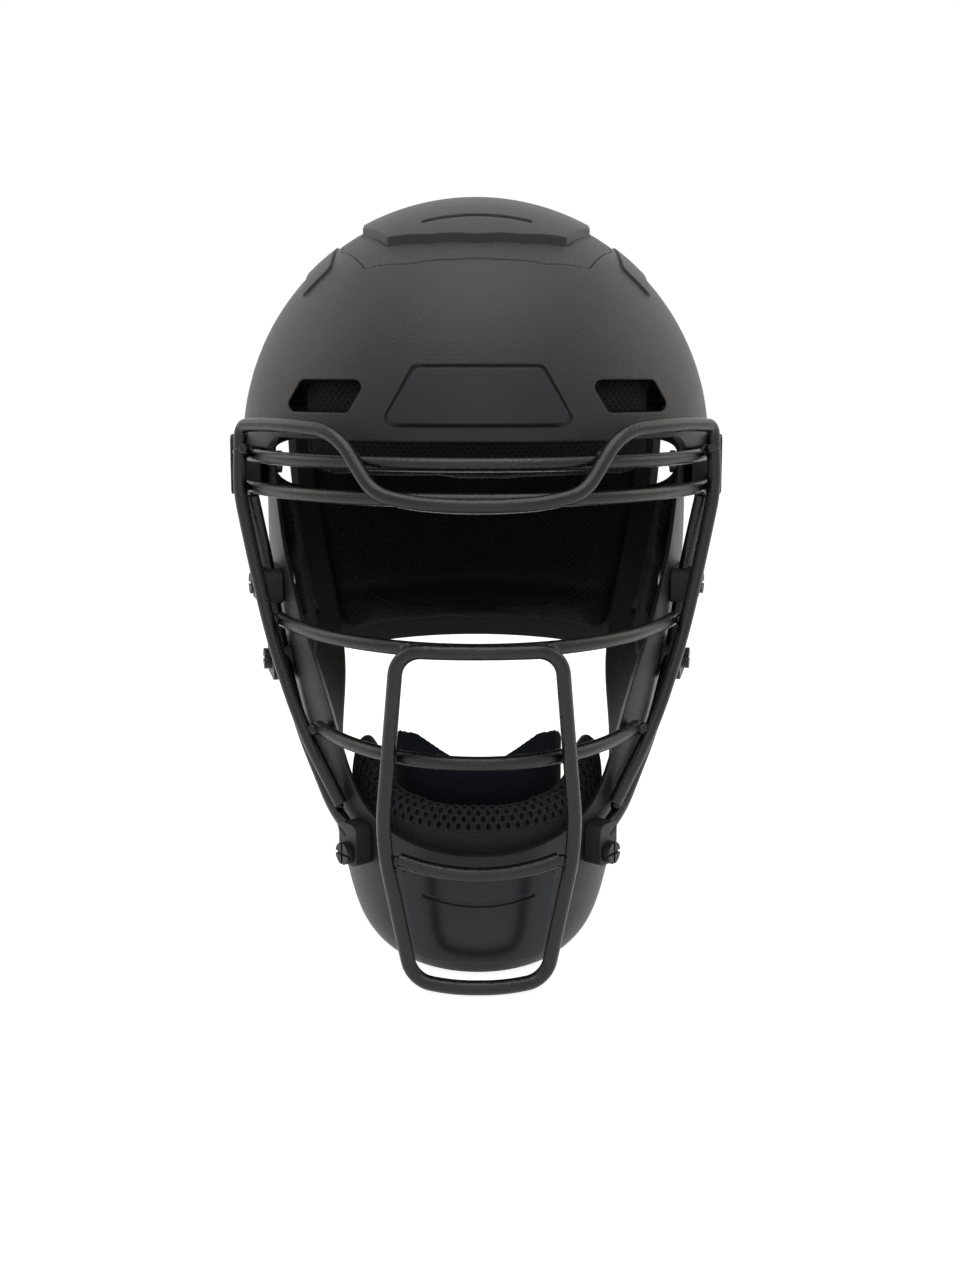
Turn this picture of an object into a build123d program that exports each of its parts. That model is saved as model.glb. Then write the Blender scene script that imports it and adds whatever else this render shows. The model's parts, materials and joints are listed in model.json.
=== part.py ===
"""Baseball catcher's helmet with a wire face cage, pads and a strapped back plate.

Millimetres. +Z is up, the face looks along -Y and +X is the wearer's left.
The origin lies on the surface that the chin rests on, under the middle of the whole.
"""

from build123d import *
import math
import os

# Overall form of the shell
crown_height = 306.0
dome_centre_height = 198.0
dome_half_width = 106.0
dome_half_depth = 122.0
ledge_height = 200.0
side_half_width = 98.0
side_half_depth = 114.0
shell_wall = 4.0

# Face opening, rear edge and the flat that ends the chin
brow_rim_height = 205.0
chin_rim_height = 44.0
opening_half_width = 87.0
opening_back = 26.0
opening_corner = 7.0
rear_edge_height = 228.0
rear_edge_reach = 86.0

# Raised and sunk details of the shell
brow_frame_rise = 2.0
brow_frame_top = 243.0
brow_frame_top_half_width = 25.0
brow_frame_foot_half_width = 50.0
brow_lip_height = 212.5
plate_top = 233.0
plate_bottom = 212.0
plate_top_half_width = 24.0
plate_half_width = 37.0
plate_groove = 1.2
plate_recess_depth = 1.0
plate_thickness = 2.2
fit_gap = 0.3
vent_outer = 79.0
vent_inner = 43.0
vent_top = 228.5
vent_bottom = 215.5
vent_slant = 8.0
crown_panel_rise = 3.0
crown_panel_half_width = 50.0
crown_panel_front = 75.0
crown_panel_back = 72.0
crown_band_width = 9.0
crown_recess_depth = 1.4
crown_slit_width = 46.0
crown_slit_length = 3.2
crown_slit_y = 59.0
ridge_rise = 1.0
ridge_inner = 62.0
ridge_outer = 74.0
ridge_reach = 50.0
ear_slot_length = 28.0
ear_slot_width = 7.0
ear_slot_pitch = 14.0
ear_slot_height = 134.0
ear_slot_y = 2.0
rear_vent_length = 26.0
rear_vent_width = 7.0
rear_vent_spread = 30.0
rear_vent_height = 262.0
corner_radius = 3.0
guard_rise = 2.0
guard_top = 37.0
guard_bottom = 3.0
guard_top_half_width = 31.0
guard_bottom_half_width = 25.0
guard_groove_height = 28.0
guard_groove_sag = 2.5
guard_groove_half_width = 22.0
guard_groove_width = 1.4
guard_groove_depth = 1.0

# Wire cage
wire_diameter = 5.6
weld_gap = 0.15
cage_half_width = 109.0
cage_reach = 150.0
bar_tail_y = 30.0
brow_bar_height = 197.0
brow_bar_front = 132.0
upper_eye_bar_height = 184.0
upper_eye_bar_front = 136.0
cheek_bar_height = 87.3
cheek_bar_front = 150.8
cheek_bar_half_width = 82.9
chin_bar_height = 48.0
chin_bar_dip = 5.0
chin_bar_front = 146.5
drop_wire_height = 209.5
loop_top_height = 129.5
loop_bottom_height = 0.4
loop_half_width = 37.0

eye_bar_half_width = 108.2
lower_bar_height = 129.0
lower_bar_front = 146.0
lower_bar_half_width = 95.4
lower_bar_end_y = 73.0
cheek_bar_end_y = 93.8
chin_bar_half_width = 30.3
chin_bar_end_y = 143.3

# Clips, screws and nuts
temple_clip_y = 28.0
temple_clip_middle = 191.5
temple_clip_tall = 26.0
temple_clip_wide = 28.0
temple_clip_reach = 13.0
temple_screw_shift = 8.0
clip_tall = 15.0
clip_wide = 26.0
upper_clip_height = 141.0
upper_clip_angle = 18.5
upper_clip_reach = 9.5
lower_clip_height = 108.5
lower_clip_angle = 15.0
lower_clip_reach = 8.5
chin_clip_height = 43.0
chin_screw_drop = 3.5
chin_clip_tall = 17.0
chin_clip_wide = 12.5
chin_clip_angle = 42.0
chin_clip_reach = 7.5
screw_slot_width = 1.2
screw_slot_depth = 1.0
nut_seat_gap = 0.3

# Pads
pad_gap = 0.5
pad_corner = 9.0
crown_pad_corner = 16.0
crown_pad_thickness = 13.0
crown_pad_half_width = 46.0
crown_pad_half_length = 62.0
brow_pad_thickness = 15.0
brow_pad_half_width = 70.0
brow_pad_top = 236.0
brow_pad_bottom = 189.0
side_pad_thickness = 17.0
side_pad_half_length = 42.0
side_pad_top = 256.0
side_pad_bottom = 208.0
jaw_pad_thickness = 7.0
jaw_pad_top = 184.0
chin_pad_thickness = 19.0
chin_pad_height = 36.0
chin_pad_middle_height = 44.0
chin_pad_centre_y = 58.0
chin_pad_half_width = 46.7
chin_pad_reach = 56.3
chin_lining_thickness = 1.8
chin_lining_top = 84.0
chin_lining_bottom = 34.0

chin_pad_sweep = 98.0
chin_lining_half_width = 36.6
chin_lining_reach = 46.0
chin_lining_back = 4.0

# Back plate
back_corner = 13.0
back_half_width = 101.0
back_centre_y = 20.0
back_half_depth = 111.0
back_wall = 3.5
back_bottom = 88.0
back_top = 236.0
back_front_edge = 66.0
back_outline_half_width = 98.0
back_slot_length = 40.0
back_slot_width = 6.0
back_slot_pitch = 15.0
back_slot_height = 176.0
back_pad_thickness = 11.0
back_pad_margin = 7.0
back_pad_top = 220.0

# Straps and fasteners
strap_width = 20.0
strap_thickness = 1.8
strap_stand = 0.9
strap_front_angle = -18.0
upper_strap_height = 158.0
lower_strap_height = 130.0
top_strap_top = 262.0
top_strap_bottom = 233.5
buckle_height = 26.0
buckle_length = 13.0
buckle_thickness = 3.2
screw_head_diameter = 9.0
screw_head_height = 2.6
screw_shank_diameter = 4.4
nut_diameter = 10.0
nut_height = 2.4
hole_gap = 0.3
cut_overrun = 12.0
wide = 2 * dome_half_width + 2 * cut_overrun

wire_radius = wire_diameter / 2

# How the lower shell follows its height. Shares of ledge_height, of side_half_width, and of
# side_half_depth for the middle and for the half depth
BODY_SHARES = (
    (1.0, 1.0, -0.02, 1.0),
    (0.8, 0.96, -0.09, 0.955),
    (0.6, 0.89, -0.21, 0.87),
    (0.4, 0.775, -0.36, 0.76),
    (0.2, 0.63, -0.50, 0.64),
    (0.12, 0.575, -0.575, 0.59),
    (0.035, 0.51, -0.64, 0.54),
    (-0.01, 0.42, -0.67, 0.485),
)

# Half of the face opening from the brow down: shares of its half width and of its height
OPENING_SHARES = (
    (0.985, 0.87), (0.855, 0.55), (0.74, 0.395), (0.655, 0.26), (0.60, 0.165), (0.525, 0.09),
    (0.40, 0.04), (0.2, 0.008), (0.0, 0.0),
)

# Rear edge of the shell from the crown down to the chin: shares of dome_half_depth and of
# rear_edge_height
REAR_EDGE_SHARES = (
    (0.50, 0.90), (0.39, 0.74), (0.29, 0.57), (0.13, 0.42), (-0.15, 0.28), (-0.50, 0.11), (-0.72, -0.04),
)

# Half of the crown panel's outline in plan, from front to back: shares of its half width and
# of its front and back reach
CROWN_SHARES = (
    (0.0, -1.0), (0.38, -0.955), (0.74, -0.835), (0.98, -0.45), (1.0, 0.25), (0.84, 0.78), (0.58, 1.0),
)

# Bent wires of the +X side: shares of cage_half_width, of cage_reach and of drop_wire_height
SIDE_WIRE_SHARES = (
    (0.512, 0.6753, 0.2731), (0.6605, 0.628, 0.418), (0.782, 0.534, 0.58),
    (0.861, 0.492, 0.755), (0.904, 0.486, 0.872), (0.898, 0.4865, 0.955),
)
RAIL_WIRE_SHARES = (
    (0.866, 0.44, 0.8605), (0.823, 0.39, 0.721), (0.793, 0.385, 0.616), (0.757, 0.435, 0.525),
    (0.683, 0.493, 0.391), (0.5425, 0.642, 0.258), (0.464, 0.718, 0.222),
)
DROP_WIRE_SHARES = (
    (0.898, 0.4865, 0.9565), (0.893, 0.488, 1.0), (0.80, 0.575, 1.005), (0.681, 0.68, 1.005),
    (0.500, 0.795, 0.998), (0.363, 0.89, 0.89), (0.23, 0.928, 0.875), (0.08, 0.944, 0.870),
)

# Half of the nose loop from the top middle down: shares of its half width, of cage_reach and of
# the loop's height
LOOP_SHARES = (
    (0.28, 1.0135, 1.0), (0.824, 0.985, 1.0), (0.922, 0.9655, 0.68), (1.0, 0.957, 0.433),
    (0.69, 0.985, 0.012), (0.25, 1.012, 0.0),
)

# Outline of a jaw pad from the side: shares of side_half_depth and of jaw_pad_top
JAW_PAD_SHARES = (
    (-0.30, 1.0), (0.06, 1.0), (0.06, 0.76), (-0.02, 0.62), (-0.14, 0.53), (-0.32, 0.56), (-0.34, 0.78),
)

# Chin pad from one tip to the other: shares of its sweep, of its height for the rise and the
# height of each slice, and of its thickness
CHIN_PAD_SHARES = (
    (-1.0, 0.60, 0.45, 0.45), (-0.86, 0.44, 1.0, 0.85), (-0.6, 0.18, 1.05, 1.0), (-0.3, 0.03, 1.0, 1.0),
    (0.0, 0.0, 1.0, 1.0),
    (0.3, 0.03, 1.0, 1.0), (0.6, 0.18, 1.05, 1.0), (0.86, 0.44, 1.0, 0.85), (1.0, 0.60, 0.45, 0.45),
)

# Outline of the chin lining from the front: shares of its half width and of its height
CHIN_LINING_SHARES = (
    (-1.05, 0.0), (1.05, 0.0), (1.05, 0.75), (0.9, 0.95), (0.7, 1.0), (0.45, 0.92), (0.2, 0.72),
    (-0.2, 0.72), (-0.45, 0.92), (-0.7, 1.0), (-0.9, 0.95), (-1.05, 0.75),
)

# How the back plate follows its height: shares of its height, half width and half depth
BACK_SHARES = (
    (-0.1, 0.82, 0.85),
    (0.0, 0.86, 0.88),
    (0.25, 0.95, 0.955),
    (0.5, 1.0, 1.0),
    (0.75, 1.035, 0.985),
    (1.0, 1.035, 0.916),
    (1.1, 1.03, 0.87),
)

# Half of the back plate's outline from the rear, bottom to top: shares of half width and height
BACK_OUTLINE_SHARES = ((0.72, 0.0), (0.86, 0.12), (0.96, 0.32), (1.0, 0.58), (0.98, 0.82), (0.70, 1.0))


def body_slices(inset):
    """Height, half width, middle and half depth of each oval slice of the lower shell."""
    slices = [
        (
            height * ledge_height,
            width * side_half_width - inset,
            middle * side_half_depth,
            depth * side_half_depth - inset,
        )
        for height, width, middle, depth in BODY_SHARES
    ]
    if inset > 0:
        slices.insert(0, (ledge_height + inset, *slices[0][1:]))
        slices.append((-cut_overrun, *slices[-1][1:]))
    return slices


def dome_cap(inset):
    """The crown's ellipsoid drawn in by inset, from the ledge up."""
    radii = (
        dome_half_width - inset,
        dome_half_depth - inset,
        crown_height - dome_centre_height - inset,
    )
    ball = Pos(0, 0, dome_centre_height) * scale(Sphere(radius=1), by=radii)
    return split(ball, bisect_by=Plane.XY.offset(ledge_height + max(inset, 0)), keep=Keep.TOP)


def head_form(inset):
    """The solid that the shell wraps, drawn in by inset: a lofted body with the dome on it."""
    cap = dome_cap(inset)
    with BuildPart() as form:
        for height, half_width, middle, half_depth in body_slices(inset):
            with BuildSketch(Plane.XY.offset(height)):
                with Locations((0, middle)):
                    Ellipse(half_width, half_depth)
        loft()
        add(cap)
    return form.part


def back_form(inset):
    """The solid that the back plate wraps, drawn in by inset."""
    with BuildPart() as form:
        for height, width, depth in BACK_SHARES:
            with BuildSketch(Plane.XY.offset(back_bottom + height * (back_top - back_bottom))):
                with Locations((0, back_centre_y)):
                    Ellipse(width * back_half_width - inset, depth * back_half_depth - inset)
        loft()
    return form.part


def layer(form, outer_inset, inner_inset, window):
    """What lies inside the window, between two insets of a form."""
    outside = form(outer_inset)
    inside = form(inner_inset)
    with BuildPart() as piece:
        add(window)
        add(outside, mode=Mode.INTERSECT)
        add(inside, mode=Mode.SUBTRACT)
    return piece.part


def prism(plane, points, corner, length):
    """A straight prism on a plane, over a closed outline with rounded corners."""
    with BuildPart() as block:
        with BuildSketch(plane):
            with BuildLine():
                FilletPolyline(*points, radius=corner, close=True)
            make_face()
        extrude(amount=length)
    return block.part


def both_sides(half):
    """A closed outline from its +X half, listed from one end of the middle line to the other."""
    return [*half, *((-x, y) for x, y in reversed(half) if x > 0)]


def front_prism(points, corner):
    """A prism from the opening's back plane out past the face."""
    return prism(Plane.XZ.offset(opening_back), points, corner, wide)


def wire_plane(route):
    """The plane square to a route at its start."""
    return Plane(origin=route @ 0, z_dir=route % 0)


def smooth_radii(points):
    """The largest bend that fits at each inner corner of a run of points."""
    radii = []
    for before, corner, after in zip(points, points[1:], points[2:]):
        first = Vector(*corner) - Vector(*before)
        second = Vector(*after) - Vector(*corner)
        half_turn = math.radians(first.get_angle(second)) / 2
        radii.append(0.45 * min(first.length, second.length) / math.tan(half_turn))
    return radii


def round_bar(half_width, front, height, end_y, radius):
    """A bar bent to an oval in plan, ending at the same depth on both sides."""
    end_angle = math.degrees(math.asin(end_y / front))
    with BuildPart() as bar:
        with BuildLine(Plane.XY.offset(height)) as route:
            EllipticalCenterArc(
                (0, 0), half_width, front, start_angle=180 + end_angle, arc_size=180 - 2 * end_angle
            )
        with BuildSketch(wire_plane(route.line)):
            Circle(radius)
        sweep()
    return bar.part


def bent_wire(points, radius):
    """A wire through the points, with a large bend at each."""
    with BuildPart() as wire:
        with BuildLine() as route:
            FilletPolyline(*points, radius=smooth_radii(points))
        with BuildSketch(wire_plane(route.line)):
            Circle(radius)
        sweep()
    return wire.part


def cage_points(shares):
    """Points of a bent wire from shares of the cage's half width, front reach and drop height."""
    return [(x * cage_half_width, -y * cage_reach, z * drop_wire_height) for x, y, z in shares]


def mirror_run(points):
    """A run of points from the side to the middle, carried on to the other side."""
    return [*points, *((-x, y, z) for x, y, z in reversed(points))]


def mirror_plane(plane):
    """The same plane on the -X side."""
    return Plane(
        origin=(-plane.origin.X, plane.origin.Y, plane.origin.Z),
        x_dir=(-plane.x_dir.X, plane.x_dir.Y, plane.x_dir.Z),
        z_dir=(-plane.z_dir.X, plane.z_dir.Y, plane.z_dir.Z),
    )


# Windows that the shell's layers are cut with
opening_height = brow_rim_height - chin_rim_height
opening_side = [
    (x * opening_half_width, chin_rim_height + z * opening_height) for x, z in OPENING_SHARES
]
with BuildPart() as face_opening:
    with BuildSketch(Plane.XZ.offset(opening_back)):
        with BuildLine():
            rim = [(opening_half_width, brow_rim_height), *opening_side]
            Spline(*rim, *[(-x, z) for x, z in reversed(rim[:-1])])
            Line((-opening_half_width, brow_rim_height), (opening_half_width, brow_rim_height))
        make_face()
        fillet(vertices(), opening_corner)
    extrude(amount=wide)

rear_edge = [(y * dome_half_depth, z * rear_edge_height) for y, z in REAR_EDGE_SHARES]
with BuildPart() as neck_opening:
    with BuildSketch(Plane.YZ):
        with BuildLine():
            Spline((rear_edge_reach, rear_edge_height), *rear_edge)
            Polyline(
                rear_edge[-1],
                (rear_edge[-1][0], -cut_overrun),
                (wide, -cut_overrun),
                (wide, rear_edge_height),
                (rear_edge_reach, rear_edge_height),
            )
        make_face()
    extrude(amount=wide, both=True)



def frame_window(gap):
    """The brow frame's outline from the front, opened by a gap all round."""
    half = [
        (dome_half_width - ridge_rise + gap, brow_rim_height - cut_overrun - gap),
        (dome_half_width - ridge_rise + gap, brow_lip_height + gap),
        (brow_frame_foot_half_width + gap, brow_lip_height + gap),
        (brow_frame_top_half_width + gap, brow_frame_top + gap),
    ]
    return prism(Plane.XZ.offset(opening_back - gap), both_sides(half), corner_radius, wide)


def plate_window(gap):
    """The trapezoid of the brow plate, opened by a gap all round."""
    return front_prism(
        both_sides([
            (plate_half_width + gap, plate_bottom - gap),
            (plate_top_half_width + gap, plate_top + gap),
        ]),
        corner_radius,
    )


def guard_window():
    """The chin guard's outline from the front."""
    return front_prism(
        both_sides([
            (guard_bottom_half_width, guard_bottom),
            (guard_top_half_width, guard_top),
        ]),
        corner_radius,
    )


def guard_groove_window():
    """The curved groove across the chin guard."""
    with BuildPart() as groove:
        with BuildSketch(Plane.XZ.offset(opening_back)):
            with BuildLine():
                low = guard_groove_height - guard_groove_sag
                ThreePointArc(
                    (-guard_groove_half_width, guard_groove_height), (0, low), (guard_groove_half_width, guard_groove_height)
                )
                Line(
                    (guard_groove_half_width, guard_groove_height),
                    (guard_groove_half_width, guard_groove_height + guard_groove_width),
                )
                ThreePointArc(
                    (guard_groove_half_width, guard_groove_height + guard_groove_width),
                    (0, low + guard_groove_width),
                    (-guard_groove_half_width, guard_groove_height + guard_groove_width),
                )
                Line(
                    (-guard_groove_half_width, guard_groove_height + guard_groove_width),
                    (-guard_groove_half_width, guard_groove_height),
                )
            make_face()
        extrude(amount=wide)
    return groove.part


def crown_window(margin):
    """The crown panel's outline, widened by a margin, run straight up through the crown."""
    points = [
        (
            x * crown_panel_half_width + margin,
            y * (crown_panel_back if y > 0 else crown_panel_front) + math.copysign(margin, y) * abs(y),
        )
        for x, y in CROWN_SHARES
    ]
    return prism(Plane.XY.offset(dome_centre_height), both_sides(points), corner_radius, wide)


with BuildPart() as ridge_window:
    with BuildSketch(Plane.XY.offset(dome_centre_height)):
        for side in (-1, 1):
            with Locations((side * (ridge_inner + ridge_outer) / 2, 0)):
                RectangleRounded(ridge_outer - ridge_inner, 2 * ridge_reach, corner_radius)
    extrude(amount=wide)

with BuildPart() as crown_slit:
    with BuildSketch(Plane.XY.offset(dome_centre_height)):
        with Locations((0, -crown_slit_y)):
            SlotOverall(crown_slit_width, crown_slit_length)
    extrude(amount=wide)

brow_frame = layer(head_form, -brow_frame_rise, shell_wall / 2, frame_window(0))
frame_room = layer(head_form, -brow_frame_rise - fit_gap, 0, frame_window(fit_gap))
side_ridges = layer(head_form, -ridge_rise, shell_wall / 2, ridge_window.part)
plate_pocket = layer(head_form, -cut_overrun, plate_recess_depth, plate_window(plate_groove))
crown_recess = layer(head_form, -cut_overrun, crown_recess_depth, crown_window(crown_band_width))

outer_form = head_form(0)
inner_form = head_form(shell_wall)
nut_skin = head_form(shell_wall + nut_seat_gap / 2)


def body_oval(height):
    """Half width, middle and half depth of the lower shell's oval at a height."""
    share = height / ledge_height
    top, low = next(
        (upper, lower) for upper, lower in zip(BODY_SHARES, BODY_SHARES[1:]) if lower[0] <= share
    )
    mix = (share - low[0]) / (top[0] - low[0])
    width, middle, depth = (low[i] + mix * (top[i] - low[i]) for i in (1, 2, 3))
    return width * side_half_width, middle * side_half_depth, depth * side_half_depth


def side_point(height, angle):
    """A point on the lower shell at a height and at an angle forward of +X."""
    across, middle, along = body_oval(height)
    turn = math.radians(angle)
    return Vector(across * math.cos(turn), middle - along * math.sin(turn), height)


def side_plane(height, angle):
    """The upright plane that touches the lower shell at a height and an angle forward of +X."""
    across, middle, along = body_oval(height)
    turn = math.radians(angle)
    normal = (math.cos(turn) / across, -math.sin(turn) / along, 0)
    return Plane(origin=side_point(height, angle), x_dir=(0, 0, 1), z_dir=normal)


def temple_plane(y):
    """The plane of the temple clip, square to the shell's side."""
    origin = (side_half_width - shell_wall, y, temple_clip_middle)
    return Plane(origin=origin, x_dir=(0, 0, 1), z_dir=(1, 0, 0))


chin_seat = side_plane(chin_clip_height, chin_clip_angle)
chin_screw_seat = Plane(
    origin=chin_seat.origin - Vector(0, 0, chin_screw_drop),
    x_dir=chin_seat.x_dir,
    z_dir=chin_seat.z_dir,
)

# The clips of the +X side: plane of the clip, plane of its screw, height, width and reach
clip_seats = {
    "temple_clip": (
        temple_plane(-temple_clip_y),
        temple_plane(temple_screw_shift - temple_clip_y),
        temple_clip_tall,
        temple_clip_wide,
        temple_clip_reach,
    ),
    "upper_rail_clip": (
        side_plane(upper_clip_height, upper_clip_angle),
        side_plane(upper_clip_height, upper_clip_angle),
        clip_tall,
        clip_wide,
        upper_clip_reach,
    ),
    "lower_rail_clip": (
        side_plane(lower_clip_height, lower_clip_angle),
        side_plane(lower_clip_height, lower_clip_angle),
        clip_tall,
        clip_wide,
        lower_clip_reach,
    ),
    "chin_clip": (
        chin_seat,
        chin_screw_seat,
        chin_clip_tall,
        chin_clip_wide,
        chin_clip_reach,
    ),
}
screw_planes = [screw for seat, screw, tall, across, reach in clip_seats.values()]
screw_reaches = [reach for seat, screw, tall, across, reach in clip_seats.values()]

# Shell with its raised brow frame, ridges, vents and recesses
with BuildPart() as helmet_shell:
    add(outer_form)
    add(side_ridges)
    add(brow_frame)
    add(inner_form, mode=Mode.SUBTRACT)
    add(plate_pocket, mode=Mode.SUBTRACT)
    add(crown_recess, mode=Mode.SUBTRACT)
    add(face_opening.part, mode=Mode.SUBTRACT)
    add(neck_opening.part, mode=Mode.SUBTRACT)
    add(crown_slit.part, mode=Mode.SUBTRACT)
    for side in (-1, 1):
        with BuildSketch(Plane.XZ.offset(opening_back)):
            with BuildLine():
                Polyline(
                    (side * vent_outer, vent_bottom),
                    (side * (vent_outer - vent_slant), vent_top),
                    (side * vent_inner, vent_top),
                    (side * (vent_inner + vent_slant), vent_bottom),
                    close=True,
                )
            make_face()
            fillet(vertices(), corner_radius)
        extrude(amount=wide, mode=Mode.SUBTRACT)
    with BuildSketch(Plane.YZ):
        with Locations((ear_slot_y, ear_slot_height)):
            with GridLocations(0, ear_slot_pitch, 1, 3):
                SlotOverall(ear_slot_length, ear_slot_width)
    extrude(amount=wide, both=True, mode=Mode.SUBTRACT)
    with BuildSketch(Plane.XZ):
        with Locations((0, rear_vent_height)):
            with GridLocations(2 * rear_vent_spread, 0, 2, 1):
                SlotOverall(rear_vent_length, rear_vent_width)
    extrude(amount=-wide, mode=Mode.SUBTRACT)
    for seat in screw_planes:
        for plane in (seat, mirror_plane(seat)):
            with BuildSketch(plane.offset(-cut_overrun)):
                Circle(screw_shank_diameter / 2 + hole_gap)
            extrude(amount=2 * cut_overrun, mode=Mode.SUBTRACT)

# Pieces set on the shell
brow_plate_layer = layer(
    head_form, plate_recess_depth - fit_gap - plate_thickness, plate_recess_depth - fit_gap, plate_window(0)
)
with BuildPart() as brow_plate:
    add(brow_plate_layer)

guard_layer = layer(head_form, -guard_rise, -fit_gap, guard_window())
guard_groove = layer(head_form, -cut_overrun, guard_groove_depth - guard_rise, guard_groove_window())
with BuildPart() as chin_guard:
    add(guard_layer)
    add(guard_groove, mode=Mode.SUBTRACT)

panel_layer = layer(head_form, -crown_panel_rise, crown_recess_depth - fit_gap, crown_window(0))
with BuildPart() as crown_panel:
    add(panel_layer)
    add(crown_slit.part, mode=Mode.SUBTRACT)

band_layer = layer(head_form, 0, crown_recess_depth - fit_gap, crown_window(crown_band_width - fit_gap))
panel_hole = crown_window(fit_gap)
with BuildPart() as crown_band:
    add(band_layer)
    add(panel_hole, mode=Mode.SUBTRACT)

# Wire cage: the bars that run from side to side
bar_shapes = {
    "brow_bar": (cage_half_width, brow_bar_front, brow_bar_height, bar_tail_y),
    "upper_eye_bar": (eye_bar_half_width, upper_eye_bar_front, upper_eye_bar_height, bar_tail_y),
    "lower_eye_bar": (lower_bar_half_width, lower_bar_front, lower_bar_height, lower_bar_end_y),
    "cheek_bar": (cheek_bar_half_width, cheek_bar_front, cheek_bar_height, cheek_bar_end_y),
}
bars = {name: round_bar(*shape, wire_radius) for name, shape in bar_shapes.items()}

side_wire_points = cage_points(SIDE_WIRE_SHARES)
rail_wire_points = cage_points(RAIL_WIRE_SHARES)
drop_wire_points = mirror_run(cage_points(DROP_WIRE_SHARES))
with BuildPart() as side_wire_left:
    add(bent_wire(side_wire_points, wire_radius))
with BuildPart() as side_wire_right:
    mirror(side_wire_left.part, about=Plane.YZ)
with BuildPart() as rail_wire_left:
    add(bent_wire(rail_wire_points, wire_radius))
with BuildPart() as rail_wire_right:
    mirror(rail_wire_left.part, about=Plane.YZ)
with BuildPart() as brow_drop_wire:
    add(bent_wire(drop_wire_points, wire_radius))

loop_points = [
    (x * loop_half_width, -y * cage_reach, z * (loop_top_height - loop_bottom_height) + loop_bottom_height)
    for x, y, z in LOOP_SHARES
]
loop_run = mirror_run(loop_points)
loop_radii = smooth_radii([loop_run[-1], *loop_run, loop_run[0]])
with BuildPart() as nose_loop:
    with BuildLine() as route:
        FilletPolyline(*loop_run, radius=loop_radii, close=True)
    with BuildSketch(wire_plane(route.line)):
        Circle(wire_radius)
    sweep()

chin_bar_end = (chin_bar_half_width, -chin_bar_end_y, chin_bar_height)
with BuildPart() as chin_bar:
    with BuildLine() as route:
        ThreePointArc(
            (-chin_bar_end[0], *chin_bar_end[1:]),
            (0, -chin_bar_front, chin_bar_height - chin_bar_dip),
            chin_bar_end,
        )
    with BuildSketch(wire_plane(route.line)):
        Circle(wire_radius)
    sweep()

# Clips that hold the cage on the shell, with a bore for each wire and for the screw
shell_skin = head_form(-fit_gap)
clip_wires = {
    "temple_clip": [round_bar(*bar_shapes[name], wire_radius + weld_gap) for name in ("brow_bar", "upper_eye_bar")],
    "upper_rail_clip": [bent_wire(rail_wire_points, wire_radius + weld_gap)],
    "lower_rail_clip": [bent_wire(rail_wire_points, wire_radius + weld_gap)],
    "chin_clip": [bent_wire(rail_wire_points, wire_radius + weld_gap)],
}
clips = {}
for name, (seat, screw_plane, tall, across, reach) in clip_seats.items():
    with BuildPart() as clip:
        with BuildSketch(seat):
            RectangleRounded(tall, across, corner_radius)
        extrude(amount=reach)
        add(shell_skin, mode=Mode.SUBTRACT)
        add(frame_room, mode=Mode.SUBTRACT)
        for wire in clip_wires[name]:
            add(wire, mode=Mode.SUBTRACT)
        with BuildSketch(screw_plane.offset(-cut_overrun)):
            Circle(screw_shank_diameter / 2 + hole_gap)
        extrude(amount=wide, mode=Mode.SUBTRACT)
    clips[name + "_left"] = clip.part
    with BuildPart() as twin:
        mirror(clip.part, about=Plane.YZ)
    clips[name + "_right"] = twin.part

# Screws and the nuts behind the shell's wall
with BuildPart() as clip_screws:
    for seat, reach in zip(screw_planes, screw_reaches):
        for plane in (seat, mirror_plane(seat)):
            with BuildSketch(plane.offset(reach + fit_gap)):
                Circle(screw_head_diameter / 2)
            extrude(amount=screw_head_height)
            with BuildSketch(plane.offset(-shell_wall - nut_height)):
                Circle(screw_shank_diameter / 2)
            extrude(amount=reach + fit_gap + shell_wall + nut_height)
            with BuildSketch(plane.offset(reach + fit_gap + screw_head_height - screw_slot_depth)):
                Rectangle(screw_slot_width, screw_head_diameter)
                Rectangle(screw_head_diameter, screw_slot_width)
            extrude(amount=cut_overrun, mode=Mode.SUBTRACT)
with BuildPart() as clip_nuts:
    for seat in screw_planes:
        for plane in (seat, mirror_plane(seat)):
            with BuildSketch(plane.offset(-shell_wall - nut_height)):
                Circle(nut_diameter / 2)
                Circle(screw_shank_diameter / 2 + fit_gap / 2, mode=Mode.SUBTRACT)
            extrude(amount=nut_height - nut_seat_gap)
    add(nut_skin, mode=Mode.INTERSECT)

# Room for the nuts, cut out of the pads
with BuildPart() as nut_room:
    for seat in screw_planes:
        for plane in (seat, mirror_plane(seat)):
            with BuildSketch(plane.offset(-shell_wall - nut_height - fit_gap)):
                Circle(nut_diameter / 2 + fit_gap)
            extrude(amount=nut_height + shell_wall)

# Pads: each is a layer under the shell's wall
pad_outside = shell_wall + pad_gap
crown_pad_window = prism(
    Plane.XY.offset(ledge_height),
    both_sides([
        (crown_pad_half_width, -crown_pad_half_length),
        (crown_pad_half_width, crown_pad_half_length),
    ]),
    crown_pad_corner,
    wide,
)
crown_pad_layer = layer(head_form, pad_outside, pad_outside + crown_pad_thickness, crown_pad_window)
with BuildPart() as crown_pad:
    add(crown_pad_layer)

brow_pad_window = front_prism(
    both_sides([(brow_pad_half_width, brow_pad_bottom), (brow_pad_half_width, brow_pad_top)]), pad_corner
)
brow_pad_layer = layer(head_form, pad_outside, pad_outside + brow_pad_thickness, brow_pad_window)
with BuildPart() as brow_pad:
    add(brow_pad_layer)

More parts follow.
